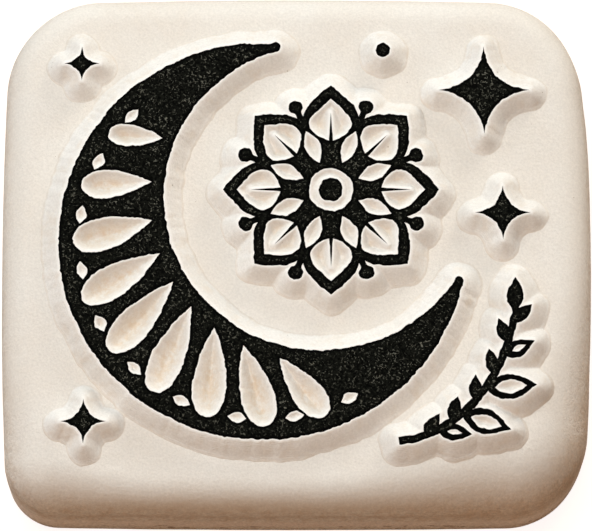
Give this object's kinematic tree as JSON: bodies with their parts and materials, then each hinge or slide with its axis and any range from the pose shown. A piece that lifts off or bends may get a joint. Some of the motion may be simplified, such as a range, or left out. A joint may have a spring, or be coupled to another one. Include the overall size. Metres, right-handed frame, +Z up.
{
  "type": "temporary tattoo stamp",
  "caption": "Pillow-shaped ceramic stamp block with a raised printing design of a crescent, rosette, leafy branch and stars, its tops inked black.",
  "frame": {"origin": "middle of the underside, on the surface the block rests on", "axes": "+Z up through the printing face, +X along the longer side of the face, +Y towards the far side of the face"},
  "size_m": [0.06, 0.054, 0.015],
  "materials": {
    "ceramic_block": "matte, fine-grained, faintly speckled",
    "ceramic_relief": "matte, freshly cut, fine-grained",
    "black_ink": "matte black coat with a fine rough grain"
  },
  "bodies": {
    "root": {"stone_block": "ceramic_block", "relief_moon": "ceramic_relief", "relief_rosette": "ceramic_relief", "relief_branch": "ceramic_relief", "relief_star_far_right": "ceramic_relief", "relief_star_right": "ceramic_relief", "relief_star_far_left": "ceramic_relief", "relief_star_near_left": "ceramic_relief", "relief_dot_far": "ceramic_relief", "ink_moon": "black_ink", "ink_rosette": "black_ink", "ink_rosette_heart": "black_ink", "ink_branch": "black_ink", "ink_star_far_right": "black_ink", "ink_star_right": "black_ink", "ink_star_far_left": "black_ink", "ink_star_near_left": "black_ink", "ink_dot_far": "black_ink"}
  },
  "joints": []
}
